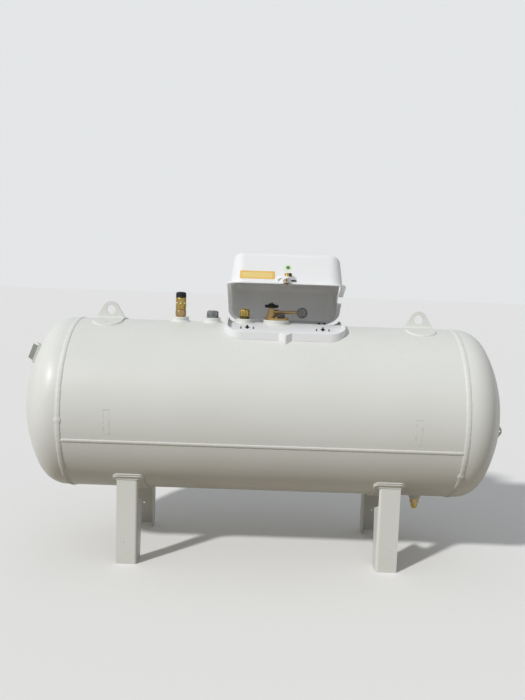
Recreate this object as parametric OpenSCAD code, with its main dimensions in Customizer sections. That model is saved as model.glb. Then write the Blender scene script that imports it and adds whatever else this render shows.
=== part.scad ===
// Horizontal pressure tank for liquefied gas, above ground, on four bent-plate legs.
// The tank lies along X, its legs stand on Z = 0, and its valves sit under a hinged hood on top.
// All lengths are in millimetres.

/* [Vessel] */
// Outer diameter of the shell
tank_d = 800; // [700:10:1000]
// Length of the rolled shell, from girth weld to girth weld
shell_len = 1766; // [1500:2:2400]
// Wall of the shell and of the heads
wall = 5; // [4:0.5:8]
// Straight flange of each dished head
head_flange = 27; // [20:1:60]
// Height of the tank's axis above the ground
axis_z = 700; // [620:5:900]
// Width of a girth weld's bead
bead_w = 22; // [8:1:24]
// Width of the long seam's bead
seam_w = 12; // [6:1:20]
// Height of a weld bead over the plate
bead_h = 3; // [1:0.5:5]
// Depth of the welding groove
groove = 4; // [2:0.5:4]
// Angle of the long seam below the front of the tank
seam_angle = 15; // [5:1:40]

/* [Legs] */
// Distance between the middles of the left and right legs
leg_pitch = 1186; // [900:2:1500]
// Distance of the legs' middle from the tank's middle
leg_mid = -9; // [-60:1:60]
// Distance between the outer faces of the front and rear legs
leg_span = 552; // [480:4:600]
// Width of a leg's outer plate
leg_w = 97; // [70:1:130]
// Thickness of a leg's plate
leg_t = 8; // [5:1:12]
// Depth of a leg's side flange at the ground
leg_foot_depth = 78; // [50:1:140]
// Depth of a leg's side flange at its upper end
leg_top_depth = 112; // [60:1:160]
// Height of the side flange's upper corner at the outer plate
leg_flange_z = 309; // [200:1:320]
// Drop of the side flange's upper edge towards the tank's middle
leg_flange_drop = 41; // [0:1:80]
// Diameter of the hole through a leg's outer plate
leg_hole_d = 9; // [6:1:18]
// Height of that hole above the ground
leg_hole_z = 105; // [60:5:160]
// Thickness of the wear pad between leg and shell
pad_t = 8; // [4:1:12]
// Width of a leg's wear pad
leg_pad_w = 136; // [110:2:180]
// Width of the wear pad around the shell
leg_pad_len = 216; // [120:1:280]

/* [Lifting lugs] */
// Distance between the holes of the two lugs
lug_pitch = 1466; // [1200:2:1600]
// Distance of the lugs' middle from the tank's middle
lug_mid = -7; // [-40:1:40]
// Diameter of a lug's hole
lug_hole_d = 43; // [25:1:50]
// Height of the hole's centre over the shell
lug_hole_h = 43; // [35:1:60]
// Radius of a lug's rounded head
lug_r = 40; // [32:1:50]
// Width of a lug at its foot
lug_w = 124; // [95:1:160]
// Height of a lug's upright edges over the shell
lug_edge_h = 16; // [12:1:30]
// Thickness of a lug
lug_t = 12; // [8:1:20]
// Width of the pad under a lug along the tank
lug_pad_w = 132; // [126:2:180]
// Thickness of the pad under a lug
lug_pad_t = 6; // [4:1:10]
// Length of that pad around the shell
lug_pad_len = 260; // [160:10:320]

/* [Bosses] */
// Outer diameter of a small threaded boss
boss_d = 78; // [60:1:90]
// Height of a boss over the top of the shell
boss_h = 21; // [15:1:35]
// Distance between neighbouring bosses
boss_pitch = 152; // [140:1:170]
// Place of the relief valve along the tank
relief_x = -408; // [-450:1:-380]
// Outer diameter of the large boss under the hood
service_boss_d = 122; // [100:2:124]
// Width of the fillet weld round a boss
boss_weld = 8; // [4:1:10]

/* [Nameplate] */
// Width of the nameplate's bracket
bracket_w = 113; // [90:1:140]
// Height of the nameplate's bracket
bracket_h = 87; // [60:1:110]
// Distance of the bracket's face from the head
plate_off = 19; // [12:1:40]
// Thickness of the bracket's sheet
sheet = 3; // [2:0.5:4]

/* [Valve tray and hood] */
// Middle of the tray and hood along the tank
hood_x = 88; // [60:1:110]
// Outer length of the tray along the tank
tray_l = 554; // [500:2:600]
// Outer depth of the tray across the tank
tray_w = 414; // [380:2:420]
// Radius of the tray's corners
tray_r = 78; // [50:2:90]
// Height of the tray's rim over the shell, at the crown line
tray_h = 22; // [20:1:40]
// Radius of the arch that the rim follows across the tank
arch_r = 520; // [450:5:900]
// Thickness of the moulded walls
skin = 4; // [3:0.5:5]
// Width of the tray's inner ledge
tray_ledge = 12; // [8:1:20]
// Clearance between the closed hood and the tray
hood_gap = 5; // [3:0.5:8]
// Height of the hood's roof over its hinges
hood_h = 188; // [160:2:220]
// Slope of the hood's walls
hood_draft = 4.5; // [2:0.5:8]
// Rounding of the hood's upper edge
hood_round = 35; // [20:1:45]
// Width of the hood's rim
hood_rim = 13; // [10:1:20]
// Thickness of the hood's rim
rim_t = 8; // [5:1:12]
// Angle of the hood as it stands open
hood_open = 30; // [0:1:60]
// Width of the lock's prow at the hood's wall
prow_w = 82; // [60:1:110]
// Reach of the prow beyond the hood's rim
prow_out = 18; // [10:1:30]
// Height of the prow
prow_h = 46; // [30:1:70]
// Diameter of the lock's barrel
lock_d = 22; // [16:1:26]
// Width of the gap for a pipe in the hood's right rim
pipe_cut_w = 73; // [50:1:100]
// Distance from the front of the rim to that gap
pipe_cut_y = 194; // [120:2:240]
// Distance of each hinge from the hood's middle
hinge_x = 190; // [150:2:200]
// Diameter of a hinge knuckle
knuckle_d = 14; // [10:1:18]
// Diameter of the hinge pin
pin_d = 6; // [4:0.5:8]

/* [Hidden] */
$fn = 96;

tank_r = tank_d / 2;
half_len = shell_len / 2;
crown_r = 0.8 * tank_d;
knuckle_r = 0.154 * tank_d;
// Angle at which a head's crown meets its knuckle, measured from the tank's axis
crown_angle = asin((tank_r - knuckle_r) / (crown_r - knuckle_r));
head_depth = crown_r - (crown_r - knuckle_r) * cos(crown_angle);
// Centre of a head's crown, measured along the axis from the girth weld
crown_x = head_flange + head_depth - crown_r;
top_z = axis_z + tank_r;
leg_x = leg_pitch / 2;
leg_y = leg_span / 2;
lug_x = lug_pitch / 2;
pad_r = tank_r + pad_t;
plug_x = relief_x + boss_pitch;
fill_x = plug_x + boss_pitch;
service_x = fill_x + boss_pitch;
boss_top = top_z + boss_h;
// Place of the stem on the service valve's flange, and of the gauge beside it
valve_at = [-24, 12];
flange_h = 10;
gauge_h = 36;
gauge_out = 99;
// Room that the tray's floor leaves round a boss
boss_room = 3;
drain_x = half_len - 126;
drain_boss_d = 54;
drain_drop = 32;
arch_z = top_z + tray_h - arch_r;
hood_wall_x = tray_l / 2 - hood_rim;
hood_wall_y = tray_w / 2 - hood_rim;
hood_r = tray_r - hood_rim;
hinge_y = tray_w / 2 + 10;
// The hinge lies level with the underside of the closed hood's rim
hinge_z = round(arch_z + sqrt(pow(arch_r + hood_gap, 2) - pow(tray_w / 2, 2)));
knuckle_l = 20;
lock_y = -hood_wall_y - 13;
// Play between the pin and the bore of a knuckle, on the radius
pin_play = 0.05;
pale = [0.88, 0.88, 0.85];

// A quarter of a round plate
module quarter(r) {
    intersection() {
        circle(r = r);
        square(r);
    }
}

// A rectangle with round corners, centred
module round_rect(l, w, r) {
    square([l - 2 * r, w], center = true);
    square([l, w - 2 * r], center = true);
    for (k = [0:3])
        translate([(k == 0 || k == 3 ? 1 : -1) * (l / 2 - r), (k < 2 ? 1 : -1) * (w / 2 - r)])
            rotate(90 * k) quarter(r);
}

// Lays what stands along Z down along X, on the tank's axis
module on_axis(x = 0) {
    translate([x, 0, axis_z]) rotate([0, 90, 0]) children();
}

// The space that the tank fills, out to a radius
module tank_space(r) {
    on_axis(-half_len) cylinder(r = r, h = shell_len, $fn = 240);
}

// The space under a head's crown
module crown_space(side) {
    translate([side * (half_len + crown_x), 0, axis_z]) rotate([0, 90, 0]) sphere(r = crown_r, $fn = 240);
}

// Shell: a rolled plate, bevelled at both ends for the girth welds
module shell() {
    b = bead_w / 2;
    color(pale) difference() {
        on_axis() rotate_extrude() polygon([
            [tank_r - wall, -half_len], [tank_r - groove, -half_len], [tank_r, b - half_len],
            [tank_r, half_len - b], [tank_r - groove, half_len], [tank_r - wall, half_len]]);
        seam_bar(seam_w);
    }
}

// A bar with the shape of the seam's groove and bead, as long as the shell between the girth welds
module seam_bar(w) {
    crown = (pow(w / 2, 2) + bead_h * bead_h) / (2 * bead_h);
    seat = sqrt(tank_r * tank_r - w * w / 4);
    on_axis(bead_w / 2 - half_len) rotate(seam_angle) linear_extrude(shell_len - bead_w) intersection() {
        translate([0, crown - bead_h - seat]) circle(r = crown);
        polygon([[0, groove - tank_r], [w / 2, -seat], [w / 2, -seat - w], [-w / 2, -seat - w],
            [-w / 2, -seat]]);
    }
}

module long_seam_weld() {
    color(pale) seam_bar(seam_w);
}

// Girth weld: a bead in the groove between shell and head
module girth_weld(x) {
    b = bead_w / 2;
    crown = (b * b + bead_h * bead_h) / (2 * bead_h);
    color(pale) on_axis(x) rotate_extrude() intersection() {
        translate([tank_r + bead_h - crown, 0]) circle(r = crown);
        polygon([[tank_r - groove, 0], [tank_r, b], [tank_r + b, b], [tank_r + b, -b], [tank_r, -b]]);
    }
}
module left_girth_weld() { girth_weld(-half_len); }
module right_girth_weld() { girth_weld(half_len); }

// A head's filled half profile, taken in by an inset: radius across, distance from the girth weld up
module head_profile(inset) {
    reach = 2 * crown_r;
    intersection() {
        square([tank_r - inset, tank_r]);
        union() {
            square([tank_r - inset, head_flange]);
            translate([tank_r - knuckle_r, head_flange]) circle(r = knuckle_r - inset);
            intersection() {
                translate([0, crown_x]) circle(r = crown_r - inset);
                polygon([[0, crown_x], [reach * sin(crown_angle), crown_x + reach * cos(crown_angle)],
                    [0, crown_x + reach]]);
            }
        }
    }
}

// Dished head: a crown, a knuckle and a straight flange, bevelled for the girth weld
module head() {
    b = bead_w / 2;
    color(pale) on_axis(half_len) rotate_extrude() difference() {
        head_profile(0);
        head_profile(wall);
        square([tank_r - wall, wall]);
        polygon([[tank_r - groove, -1], [tank_r - groove, 0], [tank_r, b], [tank_r + 1, b], [tank_r + 1, -1]]);
    }
}
module right_head() { head(); }
module left_head() { mirror([1, 0, 0]) head(); }

// Lifting lug: an upright plate with upright edges, slanting flanks and a rounded head, cut to its pad
module lifting_lug(side) {
    lug_at = lug_mid + side * lug_x;
    hole_z = top_z + lug_hole_h;
    foot_z = top_z + lug_pad_t - 1;
    edge_z = top_z + lug_edge_h;
    run = lug_w / 2;
    rise = hole_z - edge_z;
    // Angle at which the slanting flanks touch the round head
    touch = acos(lug_r / sqrt(run * run + rise * rise)) - atan2(rise, run);
    t = lug_r * [cos(touch), sin(touch)];
    color(pale) difference() {
        translate([lug_at, lug_t / 2, 0]) rotate([90, 0, 0]) linear_extrude(lug_t) difference() {
            union() {
                translate([0, hole_z]) circle(r = lug_r);
                polygon([[-run, foot_z], [run, foot_z], [run, edge_z], [t[0], hole_z + t[1]],
                    [-t[0], hole_z + t[1]], [-run, edge_z]]);
            }
            translate([0, hole_z]) circle(d = lug_hole_d);
        }
        tank_space(tank_r + lug_pad_t);
    }
}
module left_lifting_lug() { lifting_lug(-1); }
module right_lifting_lug() { lifting_lug(1); }

// Lug pad: a rounded plate rolled to the shell, with a small tell-tale hole
module lug_pad(side) {
    hole_y = lug_pad_len / 2 - 30;
    color(pale) intersection() {
        difference() {
            tank_space(tank_r + lug_pad_t);
            tank_space(tank_r);
        }
        translate([lug_mid + side * lug_x, 0, top_z - tank_r / 2]) linear_extrude(tank_r) difference() {
            round_rect(lug_pad_w, lug_pad_len, 60);
            translate([0, -hole_y]) circle(d = 8);
        }
    }
}
module left_lug_pad() { lug_pad(-1); }
module right_lug_pad() { lug_pad(1); }

// Wear pad: a rolled plate between a leg and the shell
module leg_pad(side_x, side_y) {
    // The pad reaches a little past the leg's outer face
    pad_y = leg_y + 16 - leg_pad_len / 2;
    color(pale) intersection() {
        difference() {
            tank_space(pad_r);
            tank_space(tank_r);
        }
        translate([leg_mid + side_x * (leg_x - 6), side_y * pad_y, axis_z - tank_r - pad_t])
            linear_extrude(tank_r) round_rect(leg_pad_w, leg_pad_len, 20);
    }
}
module front_left_pad() { leg_pad(-1, -1); }
module front_right_pad() { leg_pad(1, -1); }
module rear_left_pad() { leg_pad(-1, 1); }
module rear_right_pad() { leg_pad(1, 1); }

// Leg: one bent plate, its outer face towards the front or rear and its flange on the tank's inner side
module leg(side_x, side_y) {
    bend = 14;
    translate([leg_mid, 0, 0]) mirror([side_x < 0 ? 1 : 0, 0, 0]) mirror([0, side_y > 0 ? 1 : 0, 0])
        color(pale) difference() {
            intersection() {
                // The bent plate in plan
                translate([leg_x - leg_w / 2, -leg_y, 0]) linear_extrude(axis_z) difference() {
                    union() {
                        translate([bend, 0]) square([leg_w - bend, leg_t]);
                        translate([0, bend]) square([leg_t, leg_top_depth - bend]);
                        translate([bend, bend]) rotate(180) quarter(bend);
                    }
                    translate([bend, bend]) circle(r = bend - leg_t);
                }
                // The side outline of plate and flange
                translate([0, -leg_y, 0]) rotate([90, 0, 90]) linear_extrude(leg_x + leg_w)
                    polygon([[0, 0], [leg_foot_depth, 0], [leg_top_depth, leg_flange_z - leg_flange_drop],
                        [leg_t, leg_flange_z], [leg_t, axis_z - tank_r / 2], [0, axis_z - tank_r / 2]]);
            }
            tank_space(pad_r);
            translate([leg_x + 12, -leg_y - 1, leg_hole_z]) rotate([-90, 0, 0])
                cylinder(d = leg_hole_d, h = leg_t + 2);
        }
}
module front_left_leg() { leg(-1, -1); }
module front_right_leg() { leg(1, -1); }
module rear_left_leg() { leg(-1, 1); }
module rear_right_leg() { leg(1, 1); }

// Collar with its fillet weld; the weld's slope runs on below the plate, where the shell cuts it off
module collar(d, h) {
    drop = tank_r - sqrt(tank_r * tank_r - pow(d / 2 + boss_weld, 2));
    top = boss_weld - drop / 2;
    slope = boss_weld / (top + drop);
    low = drop + 6;
    rotate_extrude() polygon([[0, -low], [d / 2 + slope * (top + low), -low], [d / 2, top],
        [d / 2, h - 2], [d / 2 - 2, h], [0, h]]);
}

// Threaded boss: a short collar on the crown line, cut to the shell
module boss(x, d) {
    color(pale) difference() {
        translate([x, 0, top_z]) collar(d, boss_h);
        tank_space(tank_r);
    }
}
module relief_boss() { boss(relief_x, boss_d); }
module plug_boss() { boss(plug_x, boss_d); }
module fill_boss() { boss(fill_x, boss_d); }
module service_boss() { boss(service_x, service_boss_d); }

// Relief valve: a hexagon, a slender brass body and a wider mouth under the rain cap
module relief_valve() {
    color("goldenrod") translate([relief_x, 0, boss_top]) {
        cylinder(d1 = 42, d2 = 49, h = 6);
        translate([0, 0, 6]) cylinder(d = 53, h = 26, $fn = 6);
        translate([0, 0, 32]) rotate_extrude() polygon([
            [0, 0], [21.5, 0], [21.5, 3], [23.5, 5], [23.5, 29], [22, 30], [22, 36], [23.5, 37],
            [23.5, 57], [22.5, 59], [0, 59]]);
    }
}
module relief_cap() {
    color([0.08, 0.08, 0.08]) translate([relief_x, 0, boss_top + 91]) rotate_extrude() polygon([
        [0, 0], [24.5, 0], [24.8, 2], [24.8, 18], [23.5, 22], [19, 25], [10, 26.5], [0, 27]]);
}

// Blanking plug with a hexagon
module hex_plug() {
    color([0.55, 0.56, 0.57]) translate([plug_x, 0, boss_top]) {
        cylinder(d = 58, h = 8);
        translate([0, 0, 8]) cylinder(d = 58, h = 22, $fn = 6);
        translate([0, 0, 30]) cylinder(d1 = 46, d2 = 40, h = 3);
    }
}

// Filling valve: a hexagon body with a lobed screw cap
module fill_valve() {
    color([0.45, 0.43, 0.3]) translate([fill_x, 0, boss_top]) {
        cylinder(d = 46, h = 10, $fn = 6);
        translate([0, 0, 10]) cylinder(d = 36, h = 6);
    }
}
module fill_cap() {
    lobes = 8;
    color("goldenrod") translate([fill_x, 0, boss_top + 12]) difference() {
        union() {
            cylinder(d = 50, h = 30);
            translate([0, 0, 30]) cylinder(d1 = 46, d2 = 40, h = 4);
            translate([0, 0, 34]) cylinder(d = 14, h = 4);
        }
        translate([0, 0, -1]) cylinder(d = 36.4, h = 5);
        for (k = [0:lobes - 1])
            rotate(360 / lobes * k) translate([28, 0, -1]) cylinder(d = 11, h = 40);
    }
}

// Service valve on the large boss: bolted flange, bonnet with stem, and a stem pipe for the gauge
module service_valve() {
    bolts = 6;
    flange_d = service_boss_d - 6;
    color("goldenrod") translate([service_x, 0, boss_top]) {
        cylinder(d = flange_d, h = flange_h);
        for (k = [0:bolts - 1])
            rotate(360 / bolts * (k + 0.5)) translate([flange_d / 2 - 9, 0, flange_h])
                cylinder(d = 13, h = 5, $fn = 6);
        translate([valve_at[0], valve_at[1], flange_h]) {
            cylinder(d = 48, h = 10);
            translate([0, 0, 10]) cylinder(d = 44, h = 12, $fn = 6);
            translate([0, 0, 22]) cylinder(d = 34, h = 18);
            translate([0, 0, 40]) cylinder(d = 12, h = 18);
        }
        translate([valve_at[0], valve_at[1], gauge_h]) rotate([0, 90, 0]) {
            cylinder(d = 22, h = 34);
            cylinder(d = 14, h = gauge_out - valve_at[0]);
        }
    }
}

// Handwheel: a lobed rim with a hub
module handwheel() {
    lobes = 6;
    color([0.08, 0.08, 0.08]) translate([service_x + valve_at[0], valve_at[1], boss_top + flange_h + 46])
        difference() {
            union() {
                cylinder(d = 66, h = 14);
                translate([0, 0, 14]) cylinder(d1 = 34, d2 = 26, h = 6);
            }
            translate([0, 0, -1]) cylinder(d = 12, h = 13);
            for (k = [0:lobes - 1])
                rotate(360 / lobes * k) translate([37, 0, -1]) cylinder(d = 18, h = 16);
        }
}

// Round gauge on the end of the stem pipe, its dial towards the front
module pressure_gauge() {
    case_d = 46;
    color([0.3, 0.3, 0.3]) translate([service_x + gauge_out + case_d / 2, valve_at[1], boss_top + gauge_h])
        rotate([90, 0, 0]) difference() {
            union() {
                translate([0, 0, -9]) cylinder(d = case_d, h = 21);
                translate([0, 0, 12]) cylinder(d = case_d + 4, h = 5);
            }
            translate([0, 0, 13]) cylinder(d = case_d - 4, h = 5);
        }
}

// Level gauge: a short neck with a screwed head and a round dial on top
module level_gauge() {
    color([0.12, 0.12, 0.12]) translate([service_x + 18, -30, boss_top + flange_h]) difference() {
        union() {
            cylinder(d = 30, h = 6);
            translate([0, 0, 6]) cylinder(d = 42, h = 12);
        }
        translate([0, 0, 16]) cylinder(d = 37, h = 3);
    }
}

// Drain boss and valve under the right end
module drain_boss() {
    color(pale) difference() {
        translate([drain_x, 0, axis_z - tank_r]) mirror([0, 0, 1]) collar(drain_boss_d, drain_drop);
        tank_space(tank_r);
    }
}
module drain_valve() {
    color("goldenrod") translate([drain_x, 0, axis_z - tank_r - drain_drop]) mirror([0, 0, 1]) {
        cylinder(d = 44, h = 22, $fn = 6);
        translate([0, 0, 22]) cylinder(d = 30, h = 20);
        translate([0, 0, 42]) cylinder(d = 24, h = 8);
    }
}

// Places the nameplate's pieces off the left head, turned a little towards the front, Z outwards
module on_nameplate() {
    aside = 14.6;
    above = 22.2;
    translate([-half_len - crown_x, 0, axis_z]) translate((crown_r + plate_off) *
        [-cos(above) * cos(aside), -cos(above) * sin(aside), sin(above)]) rotate([69, 0, -62]) children();
}

// Nameplate bracket: a tray of bent sheet that stands off the left head on two feet
module nameplate_bracket() {
    color(pale) difference() {
        on_nameplate() difference() {
            translate([-bracket_w / 2, -bracket_h / 2, -50]) cube([bracket_w, bracket_h, 50]);
            translate([sheet - bracket_w / 2, -bracket_h, -50 - sheet])
                cube([bracket_w - 2 * sheet, 2 * bracket_h, 50]);
        }
        crown_space(-1);
    }
}
module nameplate() {
    color([0.75, 0.76, 0.77]) on_nameplate()
        translate([6 - bracket_w / 2, 5 - bracket_h / 2, 0]) cube([bracket_w - 12, bracket_h - 10, 1]);
}

// Earthing lug: a small three-cornered plate with a hole, on the right head
module earthing_lug() {
    lug_y = -150;
    lug_z = axis_z - 50;
    reach_x = half_len + crown_x + crown_r - 5;
    color(pale) difference() {
        translate([reach_x, lug_y, lug_z]) rotate([90, 0, 0]) translate([0, 0, -3])
            linear_extrude(6) difference() {
                polygon([[-50, -38], [-20, -38], [0, -12], [0, 8], [-20, 38], [-50, 38]]);
                translate([-9, -2]) circle(d = 9);
            }
        crown_space(1);
    }
}

// The space under the arch that the tray's rim and the hood's rim follow
module arch_space(r) {
    translate([hood_x - tray_l, 0, arch_z]) rotate([0, 90, 0]) cylinder(r = r, h = 2 * tray_l, $fn = 240);
}

// A rounded block over the tray's outline, taken in by an inset and standing on the tank's axis
module tray_block(inset) {
    translate([hood_x, 0, axis_z]) linear_extrude(tank_r + 2 * tray_h)
        round_rect(tray_l - 2 * inset, tray_w - 2 * inset, tray_r - inset);
}

// Valve tray: a moulded tray on the shell with an arched rim, a floor and a prow for the lock
module valve_tray() {
    mark_x = 175;
    mark_y = 108;
    color("white") difference() {
        union() {
            // Wall and prow
            intersection() {
                difference() {
                    union() {
                        tray_block(0);
                        translate([hood_x, -tray_w / 2, axis_z]) linear_extrude(tank_r)
                            polygon([[-31, 1], [-4, -20], [4, -20], [31, 1]]);
                    }
                    tray_block(skin);
                }
                arch_space(arch_r);
            }
            // Ledge along the rim
            difference() {
                intersection() {
                    tray_block(skin / 2);
                    arch_space(arch_r);
                }
                arch_space(arch_r - skin);
                tray_block(tray_ledge);
            }
            // Floor on the shell
            intersection() {
                tray_block(skin / 2);
                tank_space(tank_r + skin);
            }
        }
        tank_space(tank_r);
        // Room for the bosses
        translate([fill_x, 0, top_z - 20]) cylinder(r = boss_d / 2 + boss_weld + boss_room, h = 40);
        translate([service_x, 0, top_z - 20])
            cylinder(r = service_boss_d / 2 + boss_weld + boss_room, h = 40);
        // Moulded marks over the fixings: a cross between two slots
        for (sx = [-1, 1], sy = [-1, 1])
            translate([hood_x + sx * mark_x, sy * mark_y, top_z - 40]) {
                translate([-11, -3.5, 0]) cube([22, 7, 60]);
                translate([-3.5, -17, 0]) cube([7, 34, 60]);
                for (s = [-1, 1])
                    translate([s * 29 - 3, -17, 0]) cube([6, 34, 60]);
            }
    }
}

// Half of the hood's section, from its mouth to its roof, with its foot drawn out sideways by a reach
module hood_half(inset, reach) {
    r = hood_round - inset;
    centre = [hood_r - (hood_h - hood_round) * tan(hood_draft) - hood_round / cos(hood_draft),
        hood_h - hood_round];
    translate([reach, 0]) {
        polygon([[-reach, 0], [hood_r - inset / cos(hood_draft), 0],
            centre + r * [cos(hood_draft), sin(hood_draft)], centre, centre + [0, r],
            [-reach, hood_h - inset]]);
        translate(centre) quarter(r);
    }
}

// The hood's block with sloping sides and round edges, taken in by an inset
module hood_block(inset) {
    core = [hood_wall_x - hood_r, hood_wall_y - hood_r];
    for (k = [0:3])
        translate([(k == 0 || k == 3 ? 1 : -1) * core[0], (k < 2 ? 1 : -1) * core[1], 0])
            rotate(90 * k) rotate_extrude(angle = 90) hood_half(inset, 0);
    for (k = [0, 1], m = [0, 1])
        mirror([m * (1 - k), m * k, 0]) rotate([90, 0, 90 * k]) translate([0, 0, -core[1 - k]])
            linear_extrude(2 * core[1 - k]) hood_half(inset, core[k]);
}

// Places the hood's pieces: closed they stand over the tray, and they turn open about the hinge
module in_hood() {
    translate([hood_x, hinge_y, hinge_z]) rotate([-hood_open, 0, 0])
        translate([0, -hinge_y, 0]) children();
}

// The tray's arch as the closed hood sees it
module hood_arch(r) {
    translate([-hood_x, 0, -hinge_z]) arch_space(r);
}

// Valve hood: a moulded cover with sloping walls, round edges, an arched rim and a prow for the lock
module valve_hood() {
    color("white") in_hood() difference() {
        union() {
            hood_block(0);
            intersection() {
                translate([0, 0, -1]) linear_extrude(hood_h) round_rect(tray_l, tray_w, tray_r);
                hood_arch(arch_r + hood_gap + rim_t);
            }
            hood_prow(0);
        }
        hood_block(skin);
        translate([0, 0, -1]) linear_extrude(2) round_rect(2 * hood_wall_x - 4 * skin,
            2 * hood_wall_y - 4 * skin, hood_r - 2 * skin);
        hood_arch(arch_r + hood_gap);
        hood_prow(skin);
        translate([0, lock_y, -1]) cylinder(d = lock_d, h = prow_h + 2);
        // Gap in the right rim, and the longer opening over it in the wall
        pipe_gap([[0, 0], [0, 78], [pipe_cut_w, 62], [pipe_cut_w, 0]]);
        difference() {
            pipe_gap([[-90, 0], [-90, 96], [pipe_cut_w, 62], [pipe_cut_w, 0]]);
            hood_arch(arch_r + hood_gap + rim_t);
        }
    }
}

// What a side outline cuts from the hood's right wall, measured from the front end of the rim's gap
module pipe_gap(outline) {
    translate([hood_wall_x - 40, pipe_cut_y - tray_w / 2, 0]) rotate([90, 0, 90]) linear_extrude(100)
        polygon(outline);
}

// Lock prow on the front of the hood: a wedge in plan under a sloping lid, taken in by an inset
module hood_prow(inset) {
    half = prow_w / 2 - inset;
    tip = hood_rim + prow_out - inset;
    difference() {
        translate([0, -hood_wall_y, 0]) linear_extrude(prow_h - inset) polygon([[-half, 12], [-half, 0],
            [-5, -tip], [5, -tip], [half, 0], [half, 12]]);
        translate([-prow_w, -hood_wall_y - tip, prow_h - inset - 16]) rotate([24, 0, 0])
            cube([2 * prow_w, 2 * tip, prow_h]);
    }
}

// Lock: a round brass barrel through the prow
module hood_lock() {
    color("goldenrod") in_hood() translate([0, lock_y, 4]) {
        cylinder(d = lock_d, h = prow_h - 2);
        translate([0, 0, prow_h - 2]) cylinder(d1 = lock_d, d2 = lock_d - 3, h = 3);
        translate([-3, 0, -2]) cube([6, 16, 4]);
    }
}

// Hinges: on each side two fixed knuckles on the tray, and one that turns with the hood on the pin
module hinge_brackets() {
    color("silver") translate([hood_x, 0, 0]) for (s = [-1, 1], e = [-1, 1])
        translate([s * hinge_x + e * (knuckle_l + 1), 0, 0]) difference() {
            union() {
                translate([0, hinge_y, hinge_z]) rotate([0, 90, 0])
                    cylinder(d = knuckle_d, h = knuckle_l, center = true);
                translate([-knuckle_l / 2, tray_w / 2, hinge_z - 34]) cube([knuckle_l, 3, 28]);
                translate([-knuckle_l / 2, tray_w / 2, hinge_z - 12])
                    cube([knuckle_l, hinge_y - tray_w / 2, 6]);
            }
            translate([0, hinge_y, hinge_z]) rotate([0, 90, 0])
                cylinder(r = pin_d / 2 + pin_play, h = knuckle_l + 2, center = true);
        }
}
module hood_hinges() {
    leaf_y = hood_wall_y + 2;
    color("silver") in_hood() for (s = [-1, 1]) translate([s * hinge_x, 0, 0]) {
        translate([0, hinge_y, 0]) rotate([0, 90, 0]) cylinder(d = knuckle_d, h = knuckle_l, center = true);
        translate([0, hinge_y, 0]) rotate([0, 90, 0])
            cylinder(d = pin_d, h = 3 * knuckle_l + 6, center = true);
        // The leaf lies on the rim
        difference() {
            translate([-knuckle_l / 2, leaf_y, 0]) cube([knuckle_l, hinge_y - leaf_y, 12]);
            translate([-s * hinge_x, 0, 0]) hood_arch(arch_r + hood_gap + rim_t);
            translate([-knuckle_l, hood_wall_y - 10, 0]) rotate([-hood_draft - 12, 0, 0])
                translate([0, 0, 16.5]) cube([2 * knuckle_l, 60, 20]);
        }
    }
}

shell();
left_head();
right_head();
left_girth_weld();
right_girth_weld();
long_seam_weld();
left_lifting_lug();
right_lifting_lug();
left_lug_pad();
right_lug_pad();
front_left_pad();
front_right_pad();
rear_left_pad();
rear_right_pad();
front_left_leg();
front_right_leg();
rear_left_leg();
rear_right_leg();
relief_boss();
relief_valve();
relief_cap();
plug_boss();
hex_plug();
fill_boss();
fill_valve();
fill_cap();
service_boss();
service_valve();
handwheel();
pressure_gauge();
level_gauge();
drain_boss();
drain_valve();
nameplate_bracket();
nameplate();
earthing_lug();
valve_tray();
hinge_brackets();
valve_hood();
hood_hinges();
hood_lock();
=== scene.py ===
"""The looks of a horizontal pressure tank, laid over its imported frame: its finishes, welds, fittings, labels
and studio."""
import math

import bmesh
import bpy
import numpy as np
from mathutils import Matrix, Vector


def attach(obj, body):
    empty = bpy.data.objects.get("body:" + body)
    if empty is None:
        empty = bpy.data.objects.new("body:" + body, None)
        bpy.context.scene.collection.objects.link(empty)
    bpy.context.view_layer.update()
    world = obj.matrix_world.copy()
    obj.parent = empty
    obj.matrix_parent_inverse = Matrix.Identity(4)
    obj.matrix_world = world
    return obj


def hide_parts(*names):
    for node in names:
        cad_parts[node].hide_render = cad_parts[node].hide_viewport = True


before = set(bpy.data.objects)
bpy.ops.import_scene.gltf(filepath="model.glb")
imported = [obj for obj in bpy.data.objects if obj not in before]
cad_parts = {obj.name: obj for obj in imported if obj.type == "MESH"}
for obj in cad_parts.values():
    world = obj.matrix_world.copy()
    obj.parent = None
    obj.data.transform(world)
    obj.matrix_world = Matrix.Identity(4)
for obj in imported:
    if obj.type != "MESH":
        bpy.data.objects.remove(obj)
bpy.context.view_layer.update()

# Vessel: a shell rolled from 5 mm plate between two dished heads, on legs bent from 8 mm plate, with
# pads, lugs and threaded bosses welded on. All of it is blasted and sprayed white in one go.
tank_r, axis_z, half_len = 0.400, 0.700, 0.883
ends, rows = ((-1, "left_"), (1, "right_")), ((-1, "front_"), (1, "rear_"))
enamelled = (
    "shell", "relief_boss", "plug_boss", "fill_boss", "service_boss", "drain_boss", "nameplate_bracket",
    "earthing_lug", *(end + name for _, end in ends for name in ("head", "lifting_lug", "lug_pad")),
    *(row + end + name for _, row in rows for _, end in ends for name in ("pad", "leg")))


def linear(hex_colour):
    """An sRGB colour written as '#rrggbb', as linear RGBA."""
    c = np.array([int(hex_colour[i : i + 2], 16) for i in (1, 3, 5)]) / 255
    c = np.where(c <= 0.04045, c / 12.92, ((c + 0.055) / 1.055) ** 2.4)
    return (*c.tolist(), 1.0)


def cells(size_mm):
    """The scale of a pattern whose cells are this many millimetres across."""
    return 1000 / size_mm


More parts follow.
